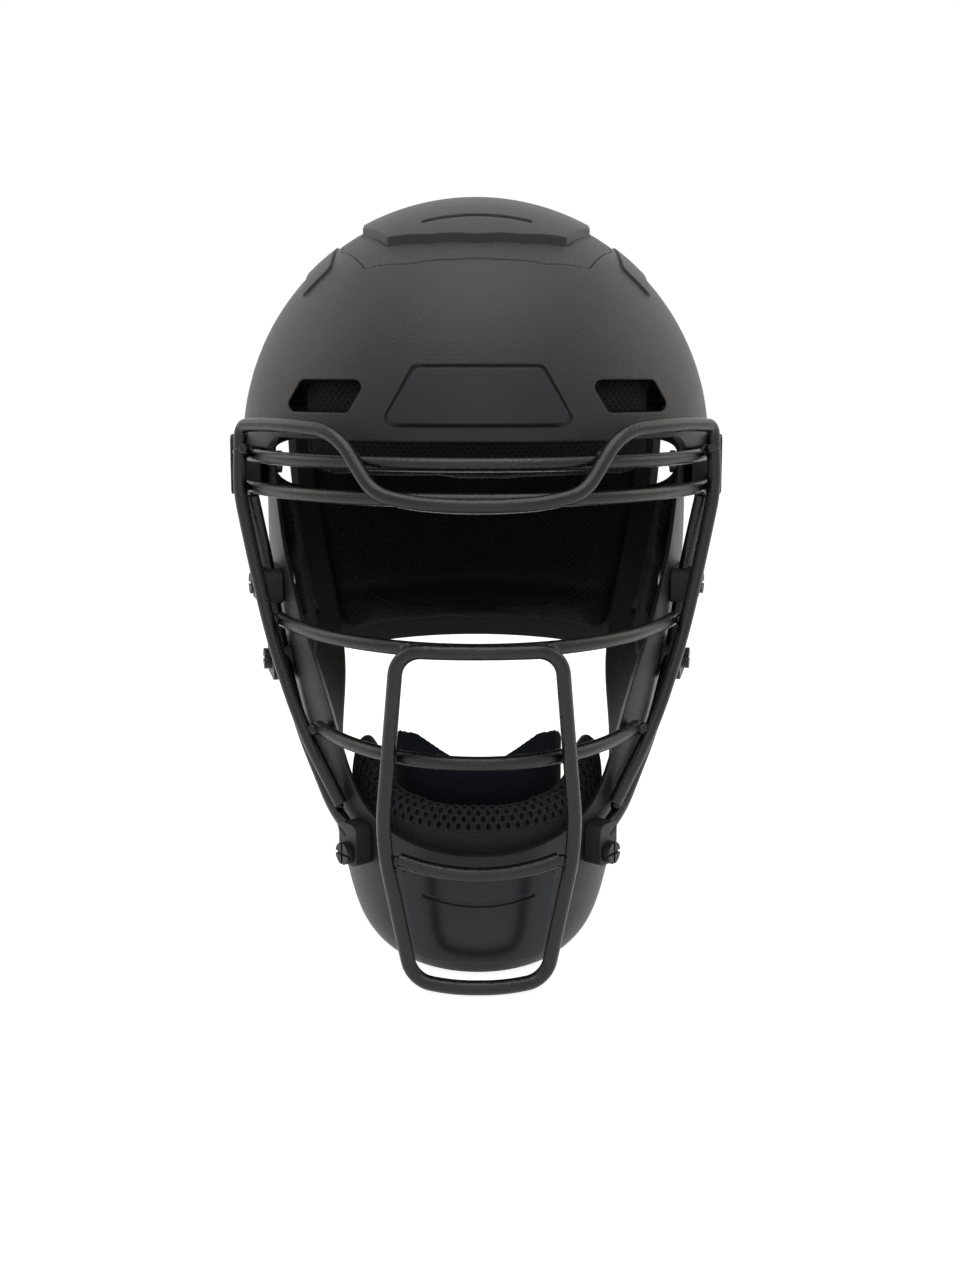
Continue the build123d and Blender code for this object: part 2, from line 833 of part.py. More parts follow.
side_pad_window = prism(
    Plane.YZ,
    [
        (-side_pad_half_length, side_pad_bottom),
        (side_pad_half_length, side_pad_bottom),
        (side_pad_half_length, side_pad_top),
        (-side_pad_half_length, side_pad_top),
    ],
    pad_corner,
    wide,
)
side_pad_layer = layer(head_form, pad_outside, pad_outside + side_pad_thickness, side_pad_window)
with BuildPart() as side_pad_left:
    add(side_pad_layer)
with BuildPart() as side_pad_right:
    mirror(side_pad_left.part, about=Plane.YZ)

jaw_pad_window = prism(
    Plane.YZ, [(y * side_half_depth, z * jaw_pad_top) for y, z in JAW_PAD_SHARES], pad_corner, wide
)
jaw_pad_layer = layer(head_form, pad_outside, pad_outside + jaw_pad_thickness, jaw_pad_window)
with BuildPart() as jaw_pad_left:
    add(jaw_pad_layer)
    add(nut_room.part, mode=Mode.SUBTRACT)
with BuildPart() as jaw_pad_right:
    mirror(jaw_pad_left.part, about=Plane.YZ)


def chin_station(turn):
    """Where the chin pad's middle line stands, at an angle from the front, and its plane."""
    angle = math.radians(turn)
    place = (
        chin_pad_half_width * math.sin(angle),
        -chin_pad_centre_y - chin_pad_reach * math.cos(angle),
    )
    along = (chin_pad_half_width * math.cos(angle), chin_pad_reach * math.sin(angle), 0)
    return place, along


with BuildPart() as chin_pad:
    for turn, rise, tall, thick in CHIN_PAD_SHARES:
        (x, y), along = chin_station(turn * chin_pad_sweep)
        height = chin_pad_middle_height + rise * chin_pad_height
        with BuildSketch(Plane(origin=(x, y, height), x_dir=(0, 0, 1), z_dir=along)):
            Ellipse(tall * chin_pad_height / 2, thick * chin_pad_thickness / 2)
    loft()
    add(nut_room.part, mode=Mode.SUBTRACT)

lining_window = front_prism(
    [(x * chin_lining_half_width, chin_lining_bottom + z * (chin_lining_top - chin_lining_bottom)) for x, z in CHIN_LINING_SHARES],
    corner_radius,
)
with BuildPart() as chin_lining:
    with BuildSketch(Plane.XY.offset(chin_lining_bottom)):
        with Locations((0, -chin_pad_centre_y)):
            Ellipse(chin_lining_half_width, chin_lining_reach)
            Ellipse(
                chin_lining_half_width - chin_lining_thickness,
                chin_lining_reach - chin_lining_thickness,
                mode=Mode.SUBTRACT,
            )
        with Locations((0, cut_overrun - chin_pad_centre_y + chin_lining_back)):
            Rectangle(wide, 2 * cut_overrun + 2 * chin_lining_back, mode=Mode.SUBTRACT)
    extrude(amount=chin_lining_top - chin_lining_bottom)
    add(lining_window, mode=Mode.INTERSECT)

# Back plate and its pad
back_outline = [
    (x * back_outline_half_width, back_bottom + z * (back_top - back_bottom)) for x, z in BACK_OUTLINE_SHARES
]
back_window = prism(
    Plane.XZ.offset(-back_front_edge), both_sides(back_outline), back_corner, -wide
)
back_plate_layer = layer(back_form, 0, back_wall, back_window)
with BuildPart() as back_plate:
    add(back_plate_layer)
    with BuildSketch(Plane.XZ.offset(-back_centre_y)):
        with Locations((0, back_slot_height)):
            with GridLocations(0, back_slot_pitch, 1, 3):
                SlotOverall(back_slot_length, back_slot_width)
    extrude(amount=-wide, mode=Mode.SUBTRACT)

back_pad_outline = [
    (x * (back_outline_half_width - back_pad_margin), back_bottom + back_pad_margin + z * (back_pad_top - back_bottom - back_pad_margin))
    for x, z in BACK_OUTLINE_SHARES
]
back_pad_window = prism(
    Plane.XZ.offset(-back_front_edge - back_pad_margin), both_sides(back_pad_outline), back_corner, -wide
)
back_pad_layer = layer(back_form, back_wall + pad_gap, back_wall + pad_gap + back_pad_thickness, back_pad_window)
with BuildPart() as back_pad:
    add(back_pad_layer)

# Straps, buckles and rivets
strap_heights = (upper_strap_height, lower_strap_height)


def strap_planes(height):
    """The cross planes of a side strap at its front end, on the shell, and at the buckle."""
    up = side_point(height + strap_width / 2, strap_front_angle) - side_point(
        height - strap_width / 2, strap_front_angle
    )
    seat = side_plane(height, strap_front_angle)
    front = seat.origin + seat.z_dir * (strap_stand + fit_gap + strap_thickness)
    share = (height - back_bottom) / (back_top - back_bottom)
    low, top = next((a, b) for a, b in zip(BACK_SHARES, BACK_SHARES[1:]) if b[0] >= share)
    mix = (share - low[0]) / (top[0] - low[0])
    width = (low[1] + mix * (top[1] - low[1])) * back_half_width
    depth = (low[2] + mix * (top[2] - low[2])) * back_half_depth
    rear_x = width * math.sqrt(1 - ((back_front_edge - back_centre_y) / depth) ** 2)
    rear = Vector(rear_x + fit_gap + buckle_thickness / 2, back_front_edge - fit_gap, height)
    along = (rear - front).normalized()
    square = along - up.normalized() * along.dot(up.normalized())
    return Plane(front, x_dir=up, z_dir=square), Plane(rear, x_dir=(0, 0, 1), z_dir=(0, 1, 0))


with BuildPart() as side_straps_left:
    for height in strap_heights:
        for plane in strap_planes(height):
            with BuildSketch(plane):
                Rectangle(strap_width, strap_thickness)
        loft(ruled=True)
with BuildPart() as side_straps_right:
    mirror(side_straps_left.part, about=Plane.YZ)

buckle_window = [
    prism(
        Plane.YZ,
        [
            (back_front_edge + y * buckle_length, height + z * buckle_height / 2)
            for y, z in ((0, -1), (1, -1), (1, 1), (0, 1))
        ],
        corner_radius,
        wide,
    )
    for height in strap_heights
]
buckle_layers = [layer(back_form, -fit_gap - buckle_thickness, -fit_gap, window) for window in buckle_window]
with BuildPart() as strap_buckles_left:
    add(buckle_layers)
with BuildPart() as strap_buckles_right:
    mirror(strap_buckles_left.part, about=Plane.YZ)

with BuildPart() as strap_rivets:
    for height in strap_heights:
        start = strap_planes(height)[0]
        middle = start.origin + start.z_dir * screw_head_diameter
        seat = Plane(middle, x_dir=(0, 0, 1), z_dir=start.z_dir.cross(start.x_dir))
        for plane in (seat, mirror_plane(seat)):
            with BuildSketch(plane.offset(strap_thickness / 2 + fit_gap)):
                Circle(screw_head_diameter / 2)
            extrude(amount=screw_head_height)

strap_window = prism(
    Plane.XZ,
    both_sides([(strap_width / 2, top_strap_bottom), (strap_width / 2, top_strap_top)]),
    corner_radius,
    -wide,
)
top_strap_layer = layer(head_form, -fit_gap - strap_thickness, -fit_gap, strap_window)
with BuildPart() as top_strap:
    add(top_strap_layer)

# Write every piece as its own file
pieces = {
    "helmet_shell": helmet_shell.part,
    "brow_plate": brow_plate.part,
    "chin_guard": chin_guard.part,
    "crown_panel": crown_panel.part,
    "crown_band": crown_band.part,
    **bars,
    "side_wire_left": side_wire_left.part,
    "side_wire_right": side_wire_right.part,
    "rail_wire_left": rail_wire_left.part,
    "rail_wire_right": rail_wire_right.part,
    "brow_drop_wire": brow_drop_wire.part,
    "nose_loop": nose_loop.part,
    "chin_bar": chin_bar.part,
    **clips,
    "clip_screws": clip_screws.part,
    "clip_nuts": clip_nuts.part,
    "crown_pad": crown_pad.part,
    "brow_pad": brow_pad.part,
    "side_pad_left": side_pad_left.part,
    "side_pad_right": side_pad_right.part,
    "jaw_pad_left": jaw_pad_left.part,
    "jaw_pad_right": jaw_pad_right.part,
    "chin_pad": chin_pad.part,
    "chin_lining": chin_lining.part,
    "back_plate": back_plate.part,
    "back_pad": back_pad.part,
    "side_straps_left": side_straps_left.part,
    "side_straps_right": side_straps_right.part,
    "strap_buckles_left": strap_buckles_left.part,
    "strap_buckles_right": strap_buckles_right.part,
    "strap_rivets": strap_rivets.part,
    "top_strap": top_strap.part,
}
boxes = [piece.bounding_box() for piece in pieces.values()]
middle_y = (min(box.min.Y for box in boxes) + max(box.max.Y for box in boxes)) / 2
lowest = min(box.min.Z for box in boxes)
print("all pieces are moved along Y by", round(-middle_y, 4), "and along Z by", round(-lowest, 4))
os.makedirs("parts", exist_ok=True)
for name, piece in pieces.items():
    placed = piece.moved(Location((0, -middle_y, -lowest)))
    placed.label = name
    export_step(placed, f"parts/{name}.step")
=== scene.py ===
"""Finish of a baseball catcher's helmet: moulded shell, coated wire cage, mesh pads and webbing."""

import json
import math

import bmesh
import bpy
from bpy.props import FloatProperty, FloatVectorProperty, IntProperty, PointerProperty
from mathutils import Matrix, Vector
from mathutils.bvhtree import BVHTree


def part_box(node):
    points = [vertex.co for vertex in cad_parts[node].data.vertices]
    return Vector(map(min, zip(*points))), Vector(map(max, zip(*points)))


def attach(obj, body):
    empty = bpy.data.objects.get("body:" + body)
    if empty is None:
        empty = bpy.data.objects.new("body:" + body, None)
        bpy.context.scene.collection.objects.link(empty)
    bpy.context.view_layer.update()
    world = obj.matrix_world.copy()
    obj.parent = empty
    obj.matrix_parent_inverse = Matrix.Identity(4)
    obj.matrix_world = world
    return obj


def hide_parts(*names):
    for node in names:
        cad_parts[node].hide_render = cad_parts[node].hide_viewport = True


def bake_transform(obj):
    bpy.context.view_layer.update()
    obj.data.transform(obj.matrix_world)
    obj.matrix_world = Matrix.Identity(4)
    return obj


bl_info = {
    "name": "Catcher's Helmet",
    "version": (1, 0, 0),
    "blender": (4, 5, 0),
    "location": "View3D > Sidebar > Helmet",
    "description": "Dresses a catcher's helmet with moulded plastic, coated wire, mesh pads and webbing",
    "category": "Object",
}

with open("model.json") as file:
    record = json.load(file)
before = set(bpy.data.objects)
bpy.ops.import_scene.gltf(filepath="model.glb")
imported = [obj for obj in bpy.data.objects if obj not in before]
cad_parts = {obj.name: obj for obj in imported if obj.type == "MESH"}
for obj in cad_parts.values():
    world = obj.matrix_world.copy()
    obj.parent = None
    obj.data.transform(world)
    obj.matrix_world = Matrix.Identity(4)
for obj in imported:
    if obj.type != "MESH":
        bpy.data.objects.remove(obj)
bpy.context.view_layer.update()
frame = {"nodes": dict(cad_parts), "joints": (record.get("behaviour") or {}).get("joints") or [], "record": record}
NODES = frame["nodes"]
RECORD = frame["record"]
HINGE = Vector(frame["joints"][0]["pos_m"])
MIDDLE_Y = HINGE.y - 0.118  # where the ears are: the dome's middle
RISE = HINGE.z - 0.236  # how far the ground lies under the drawing's zero height
MM = 0.001

# Patterns: the crown band's dots in metres, the webbing's ribs and twill in millimetres
KNURL_PITCH = 0.0021
RIB_PITCH = 1.3
TWILL_PITCH = 0.7

# Holes of the spacer meshes, in millimetres: pitch, height of a row, width and height of a hole
PAD_WEAVE = (2.6, 1.7, 1.5, 1.3)
BACK_WEAVE = (3.1, 1.55, 2.0, 1.0)
CHIN_WEAVE = (2.1, 1.25, 1.35, 0.85)

# Pads: size of the remesh, and how far a cover may be pressed out
PAD_VOXEL = 0.0035
PAD_CAP = 0.0025
JAW_CAP = 0.0016
CHIN_VOXEL = 0.0032
CHIN_CAP = 0.002
CLOTH_STEPS = 18
PRESSURE = 4.0
LONG_EDGE = 0.012  # a longer edge runs along its strap

# How bright the surroundings are to the object, and how much the floor glows where it is seen
AMBIENT = 0.12
FLOOR_GLOW = 0.87
FLOOR_REACH = 6.0

# The chin lining's middle: how far it is raised, and how far to the side that reaches
FLAP_RISE = 0.010
FLAP_MIDDLE = 0.016
FLAP_VOXEL = 0.0009

# The camera's frame, in pixels of the photograph
PHOTO_HEIGHT = 1280
FOCAL_PIXELS = 1448.4
SHIFT_ACROSS = 4.25
SHIFT_UP = -65
SENSOR = 36
TARGET_HEIGHT = 0.137 + RISE

# The chin pad's middle line, as its CAD solid has it
CHIN_HALF_WIDTH = 0.0467
CHIN_REACH = 0.0563
CHIN_CENTRE_Y = MIDDLE_Y - 0.058
CHIN_HEIGHT = 0.044 + RISE
CHIN_RISE = 0.021
CHIN_SECTION = 0.015

# Rows of eyelets on the chin pad: how far they reach round it, and each row's angle round its section
EYELET_SWEEP = math.radians(72)
EYELET_ROWS = tuple(math.radians(angle) for angle in (84, 68, 54, 41))

# Where wires are welded on the +X side and in the middle, in millimetres from the dome's middle
WELDS = (
    (95.0, -68.9, 198.5), (97.0, -69.8, 184.0), (84.9, -76.2, 128.8), (67.6, -94.8, 86.6),
    (57.6, -97.6, 55.2), (94.2, -66.0, 182.0), (96.5, -74.2, 200.2), (13.0, -148.6, 129.4),
    (26.5, -144.5, 129.4), (32.4, -140.8, 87.3), (31.6, -143.2, 47.0), (47.6, -122.8, 199.6),
    (24.0, -137.2, 183.2),
)

WIRES = (
    "brow_bar", "upper_eye_bar", "lower_eye_bar", "cheek_bar", "side_wire_left", "side_wire_right",
    "rail_wire_left", "rail_wire_right", "brow_drop_wire", "nose_loop", "chin_bar",
)
CLIPS = tuple(
    f"{name}_{side}"
    for name in ("temple_clip", "upper_rail_clip", "lower_rail_clip", "chin_clip")
    for side in ("left", "right")
)


# Node and mesh helpers


def add_node(tree, kind, links=None, **settings):
    """Adds a shader node, sets its properties and fills its sockets from values or other sockets."""
    made = tree.nodes.new(kind)
    for key, value in settings.items():
        setattr(made, key, value)
    for key, value in (links or {}).items():
        if isinstance(value, bpy.types.NodeSocket):
            tree.links.new(value, made.inputs[key])
        else:
            made.inputs[key].default_value = value
    return made


def maths(tree, operation, *values):
    """A Math node's result."""
    return add_node(tree, "ShaderNodeMath", dict(enumerate(values)), operation=operation).outputs[0]


def blend_colour(tree, share, first, second):
    """A colour between two, by a share."""
    made = add_node(tree, "ShaderNodeMix", {0: share, 6: first, 7: second}, data_type="RGBA")
    return made.outputs[2]


def rgba(colour, gain=1.0):
    """A colour property as four numbers, made lighter or darker."""
    return (*(min(1.0, c * gain) for c in colour[:3]), 1.0)


def new_material(name):
    """An empty node material with its Principled shader."""
    material = bpy.data.materials.new(name)
    material.use_nodes = True
    tree = material.node_tree
    return material, tree, tree.nodes["Principled BSDF"]


def seen_ray(tree):
    """One where the camera sees the background, by itself or in a reflection or through glass."""
    path = add_node(tree, "ShaderNodeLightPath")
    mirrored = maths(tree, "MAXIMUM", path.outputs["Is Glossy Ray"], path.outputs["Is Transmission Ray"])
    return maths(tree, "MAXIMUM", path.outputs["Is Camera Ray"], mirrored)


def object_point(tree, scale=(1, 1, 1), turn=(0, 0, 0)):
    """Object coordinates, scaled and turned."""
    place = add_node(tree, "ShaderNodeTexCoord").outputs["Object"]
    mapped = add_node(tree, "ShaderNodeMapping", {"Vector": place, "Scale": scale, "Rotation": turn})
    return mapped.outputs[0]


def noise(tree, point, scale, detail=3.0, roughness=0.5):
    """Noise at a scale, from 0 to 1."""
    made = add_node(
        tree, "ShaderNodeTexNoise",
        {"Vector": point, "Scale": scale, "Detail": detail, "Roughness": roughness},
    )
    return made.outputs[0]


def ramp(tree, value, low, high):
    """A value's rise from 0 at low to 1 at high."""
    made = add_node(tree, "ShaderNodeMapRange", {0: value, 1: low, 2: high})
    made.interpolation_type = "SMOOTHSTEP"
    return made.outputs[0]


def bump(tree, height, distance, strength=1.0, normal=None):
    """A bump normal from a height."""
    links = {"Height": height, "Distance": distance, "Strength": strength}
    if normal is not None:
        links["Normal"] = normal
    return add_node(tree, "ShaderNodeBump", links).outputs[0]


def paint(node_names, material):
    """Gives CAD nodes a material."""
    for name in node_names:
        slots = NODES[name].material_slots
        if not slots:
            NODES[name].data.materials.append(material)
        for slot in slots:
            slot.material = material


def link_object(name, mesh, material, body):
    """Puts a finished mesh in the scene on its body, or on none where it runs between two."""
    piece = bpy.data.objects.new(name, mesh)
    bpy.context.scene.collection.objects.link(piece)
    if not mesh.materials:
        mesh.materials.append(material)
    if body:
        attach(piece, body)
    return piece


def edge_normal(tree, radius):
    """Normals softened over the hard edges of a moulded part."""
    return add_node(tree, "ShaderNodeBevel", {"Radius": radius}, samples=6).outputs[0]


def surface_pair(tree, axes):
    """Two of a point's object coordinates in millimetres, such as "xz", or the UV map's."""
    if axes == "uv":
        place = add_node(tree, "ShaderNodeTexCoord").outputs["UV"]
    else:
        place = add_node(tree, "ShaderNodeTexCoord").outputs["Object"]
    parts = add_node(tree, "ShaderNodeSeparateXYZ", {0: place})
    picked = (0, 1) if axes == "uv" else ["xyz".index(letter) for letter in axes]
    return [maths(tree, "MULTIPLY", parts.outputs[i], 1000.0) for i in picked]


def hole_field(tree, pair, pitch, row, width, height):
    """How far a point lies inside the nearest hole of staggered rows: below 1 is inside."""
    across, up = pair
    line = maths(tree, "DIVIDE", up, row)
    shift = maths(tree, "MULTIPLY", maths(tree, "FLOORED_MODULO", maths(tree, "FLOOR", line), 2.0), 0.5)
    cell = maths(tree, "ADD", maths(tree, "DIVIDE", across, pitch), shift)
    offsets = [
        maths(tree, "MULTIPLY", maths(tree, "SUBTRACT", maths(tree, "FRACT", place), 0.5), scale)
        for place, scale in ((cell, 2 * pitch / width), (line, 2 * row / height))
    ]
    squares = [maths(tree, "MULTIPLY", offset, offset) for offset in offsets]
    return maths(tree, "SQRT", maths(tree, "ADD", *squares))


# Finishes


def moulded_plastic(name, colour, roughness, grain, depth, softening=0.0, drift=0.10):
    """Moulded plastic with a fine grain, softened edges and a slow drift of its sheen."""
    material, tree, shader = new_material(name)
    point = object_point(tree)
    fine = noise(tree, point, 1 / grain, 3.0, 0.6)
    slow = noise(tree, point, 14.0, 4.0)
    tint = blend_colour(tree, ramp(tree, slow, 0.3, 0.75), rgba(colour, 0.88), rgba(colour, 1.15))
    fleck = maths(tree, "MULTIPLY", ramp(tree, fine, 0.56, 0.72), 0.2)
    tint = blend_colour(tree, fleck, tint, rgba(colour, 1.8))
    tree.links.new(tint, shader.inputs["Base Color"])
    sheen = maths(tree, "MULTIPLY_ADD", slow, drift, roughness - drift / 2)
    tree.links.new(sheen, shader.inputs["Roughness"])
    soft = edge_normal(tree, softening) if softening else None
    tree.links.new(bump(tree, fine, depth, 1.0, soft), shader.inputs["Normal"])
    shader.inputs["Specular IOR Level"].default_value = 0.34
    return material


def knurled_plastic(name, colour, roughness):
    """The crown band's fine diagonal dots, with their tops painted lighter and their hollows darker as painted
    highlight and shade.
    """
    material, tree, shader = new_material(name)
    point = object_point(tree, (1, 1, 1), (0, 0, math.radians(45)))
    parts = add_node(tree, "ShaderNodeSeparateXYZ", {0: point})
    turns = 2 * math.pi / KNURL_PITCH
    waves = [maths(tree, "SINE", maths(tree, "MULTIPLY", parts.outputs[i], turns)) for i in (0, 1)]
    dots = maths(tree, "MULTIPLY", waves[0], waves[1])
    height = ramp(tree, dots, -0.2, 0.7)
    # The colour follows the dots' height: painted highlight on their tops and painted shade in the hollows between
    # them.
    tint = blend_colour(tree, height, rgba(colour, 0.5), rgba(colour, 2.0))
    tree.links.new(tint, shader.inputs["Base Color"])
    shader.inputs["Roughness"].default_value = roughness
    tree.links.new(bump(tree, height, 0.0005), shader.inputs["Normal"])
    return material


def powder_coat(name, colour, roughness):
    """Black powder coat: orange peel, with tiny bright specks painted into its colour as painted glints."""
    material, tree, shader = new_material(name)
    point = object_point(tree)
    peel = noise(tree, point, 1100.0, 2.0)
    # The bright specks are painted glints: flecks of highlight painted into the coat's colour.
    painted_glint = ramp(tree, noise(tree, point, 1900.0, 1.0), 0.60, 0.72)
    tint = blend_colour(tree, painted_glint, rgba(colour), rgba(colour, 2.5))
    tree.links.new(tint, shader.inputs["Base Color"])
    sheen = maths(tree, "MULTIPLY_ADD", noise(tree, point, 40.0, 3.0), 0.16, roughness - 0.08)
    tree.links.new(sheen, shader.inputs["Roughness"])
    tree.links.new(bump(tree, peel, 0.00018), shader.inputs["Normal"])
    shader.inputs["Specular IOR Level"].default_value = 0.38
    return material


def spacer_mesh(name, colour, axes, pitch, row, width, height, depth=0.0006):
    """Knitted spacer mesh: staggered holes between shiny ribs of yarn, the holes painted near black as painted
    shade.
    """
    material, tree, shader = new_material(name)
    pair = surface_pair(tree, axes)
    field = hole_field(tree, pair, pitch, row, width, height)
    rib = ramp(tree, field, 0.75, 1.15)
    point = object_point(tree)
    yarn = noise(tree, point, 1500.0, 3.0, 0.65)
    drift = noise(tree, point, 30.0, 3.0)
    thread = blend_colour(tree, ramp(tree, yarn, 0.35, 0.7), rgba(colour, 0.6), rgba(colour, 1.9))
    thread = blend_colour(tree, maths(tree, "MULTIPLY", drift, 0.5), thread, rgba(colour, 1.4))
    # The holes take a near-black copy of the cloth: painted shade in the holes.
    tint = blend_colour(tree, rib, rgba(colour, 0.12), thread)
    tree.links.new(tint, shader.inputs["Base Color"])
    shader.inputs["Roughness"].default_value = 0.72
    shader.inputs["Specular IOR Level"].default_value = 0.12
    shader.inputs["Sheen Weight"].default_value = 0.04
    shader.inputs["Sheen Roughness"].default_value = 0.5
    relief = maths(tree, "MULTIPLY_ADD", yarn, 0.25, rib)
    tree.links.new(bump(tree, relief, depth), shader.inputs["Normal"])
    return material


def smooth_lining(name, colour):
    """Brushed lining cloth: a close nap with soft creases."""
    material, tree, shader = new_material(name)
    point = object_point(tree)
    nap = noise(tree, point, 2600.0, 2.0, 0.7)
    crease = noise(tree, point, 60.0, 2.0)
    tint = blend_colour(tree, nap, rgba(colour, 0.7), rgba(colour, 1.5))
    tree.links.new(tint, shader.inputs["Base Color"])
    shader.inputs["Roughness"].default_value = 0.85
    shader.inputs["Specular IOR Level"].default_value = 0.12
    shader.inputs["Sheen Weight"].default_value = 0.05
    low = bump(tree, crease, 0.0015)
    tree.links.new(bump(tree, nap, 0.00015, 1.0, low), shader.inputs["Normal"])
    return material


def webbing_cloth(name, colour, axes):
    """Woven webbing: ribs across the strap and a finer twill over them, with the ribs' tops painted lighter and
    their grooves darker as painted highlight and shade.
    """
    material, tree, shader = new_material(name)
    along, across = surface_pair(tree, axes)
    slant = maths(tree, "ADD", across, along)
    rib = maths(tree, "SINE", maths(tree, "MULTIPLY", along, 2 * math.pi / RIB_PITCH))
    twill = maths(tree, "SINE", maths(tree, "MULTIPLY", slant, 2 * math.pi / TWILL_PITCH))
    height = maths(tree, "MULTIPLY_ADD", twill, 0.3, rib)
    # The colour follows the weave's height: painted highlight on the ribs' tops and painted shade in the grooves.
    shade = ramp(tree, height, -1.0, 1.2)
    tint = blend_colour(tree, shade, rgba(colour, 0.4), rgba(colour, 2.2))
    tree.links.new(tint, shader.inputs["Base Color"])
    shader.inputs["Roughness"].default_value = 0.75
    shader.inputs["Specular IOR Level"].default_value = 0.2
    shader.inputs["Sheen Weight"].default_value = 0.05
    tree.links.new(bump(tree, height, 0.00018), shader.inputs["Normal"])
    return material


def brushed_nut(name):
    """Plain zinc of the nuts behind the shell."""
    material, tree, shader = new_material(name)
    point = object_point(tree)
    shader.inputs["Metallic"].default_value = 1.0
    tint = blend_colour(tree, noise(tree, point, 300.0), (0.35, 0.35, 0.36, 1), (0.55, 0.55, 0.56, 1))
    tree.links.new(tint, shader.inputs["Base Color"])
    shader.inputs["Roughness"].default_value = 0.4
    tree.links.new(bump(tree, noise(tree, point, 900.0), 0.0001), shader.inputs["Normal"])
    return material


# Meshes of the soft pieces


def merged_copy(node):
    """A CAD node's mesh with its loose triangles joined."""
    mesh = NODES[node].data.copy()
    form = bmesh.new()
    form.from_mesh(mesh)
    bmesh.ops.remove_doubles(form, verts=form.verts, dist=1e-5)
    form.to_mesh(mesh)
    form.free()
    mesh.materials.clear()
    return mesh


def baked_mesh(piece):
    """The mesh that a piece's modifiers make. The piece itself is taken away."""
    bpy.context.view_layer.update()
    graph = bpy.context.evaluated_depsgraph_get()
    mesh = bpy.data.meshes.new_from_object(piece.evaluated_get(graph), depsgraph=graph)
    bpy.data.objects.remove(piece)
    return mesh


def loose_object(name, mesh):
    """A working object that isn't a piece yet."""
    piece = bpy.data.objects.new(name, mesh)
    bpy.context.scene.collection.objects.link(piece)
    return piece


def pushed(mesh, amount):
    """Moves every point along its normal."""
    form = bmesh.new()
    form.from_mesh(mesh)
    form.normal_update()
    steps = [(vertex, vertex.normal * amount) for vertex in form.verts]
    for vertex, step in steps:
        vertex.co += step
    form.to_mesh(mesh)
    form.free()


def stuffed(name, node, voxel, cap, channels=()):
    """A pad's mesh from its CAD solid: remeshed, blown up in its cover, then creased at its channels.

    A channel is (axis, place, reach, depth): the crease runs where that coordinate is at place.
    """
    mesh = merged_copy(node)
    pushed(mesh, -cap * 0.5)
    work = loose_object(name, mesh)
    remesh = work.modifiers.new("remesh", "REMESH")
    remesh.mode, remesh.voxel_size = "VOXEL", voxel
    smooth = work.modifiers.new("smooth", "SMOOTH")
    smooth.factor, smooth.iterations = 0.5, 6
    mesh = baked_mesh(work)
    start = [vertex.co.copy() for vertex in mesh.vertices]
    work = loose_object(name, mesh)
    cloth = work.modifiers.new("cloth", "CLOTH")
    cloth.settings.use_pressure = True
    cloth.settings.uniform_pressure_force = PRESSURE
    cloth.settings.effector_weights.gravity = 0.0
    cloth.point_cache.frame_end = CLOTH_STEPS
    for step in range(1, CLOTH_STEPS + 1):
        bpy.context.scene.frame_set(step)
    mesh = baked_mesh(work)
    bpy.context.scene.frame_set(1)
    for vertex, place in zip(mesh.vertices, start):
        move = vertex.co - place
        if move.length > cap:
            vertex.co = place + move.normalized() * cap
    form = bmesh.new()
    form.from_mesh(mesh)
    form.normal_update()
    steps = []
    for vertex in form.verts:
        dip = sum(
            depth * math.exp(-(((vertex.co[axis] - place) / reach) ** 2))
            for axis, place, reach, depth in channels
        )
        steps.append((vertex, vertex.normal * -dip))
    for vertex, step in steps:
        vertex.co += step
    axes = {f"use_axis_{axis}": True for axis in "xyz"}
    bmesh.ops.smooth_vert(form, verts=form.verts, factor=0.3, **axes)
    form.to_mesh(mesh)
    form.free()
    work = loose_object(name, mesh)
    finer = work.modifiers.new("finer", "SUBSURF")
    finer.levels = finer.render_levels = 1
    mesh = baked_mesh(work)
    mesh.shade_smooth()
    return mesh


def body_name(node):
    """The body that a CAD node rides on."""
    return next(name for name, nodes in RECORD["behaviour"]["bodies"].items() if node in nodes)


def pad_piece(name, node, mesh, material):
    """Puts a finished pad in the place of its CAD solid."""
    piece = link_object(name, mesh, material, body_name(node))
    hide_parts(node)
    return piece


def chin_uv(mesh):
    """A UV map that goes round the chin pad in metres: along its sweep and round its section."""
    layer = mesh.uv_layers.new(name="wrap")
    for loop in mesh.loops:
        point = mesh.vertices[loop.vertex_index].co
        turn, lift = chin_place(point)
        layer.data[loop.index].uv = (turn * CHIN_REACH, lift * CHIN_SECTION)


def chin_place(point):
    """The angle round the chin pad's sweep and the angle round its section at a point."""
    turn = math.atan2(point.x / CHIN_HALF_WIDTH, -(point.y - CHIN_CENTRE_Y) / CHIN_REACH)
    centre = chin_line(turn)
    out = (Vector((point.x, point.y, 0)) - Vector((0, CHIN_CENTRE_Y, 0))).length - (
        Vector((centre.x, centre.y, 0)) - Vector((0, CHIN_CENTRE_Y, 0))
    ).length
    return turn, math.atan2(point.z - centre.z, out)


def chin_line(turn):
    """The chin pad's middle line at an angle from the front."""
    share = min(1.0, abs(turn) / math.radians(98))
    rise = CHIN_RISE * share ** 3
    return Vector((
        CHIN_HALF_WIDTH * math.sin(turn), CHIN_CENTRE_Y - CHIN_REACH * math.cos(turn), CHIN_HEIGHT + rise
    ))


def cast(tree, origin, direction):
    """Where a ray meets a surface, and the normal there on the ray's side."""
    hit, normal, _, _ = tree.ray_cast(origin, direction)
    if hit is None:
        return None
    return hit, normal if normal.dot(direction) < 0 else -normal


# Geometry Nodes


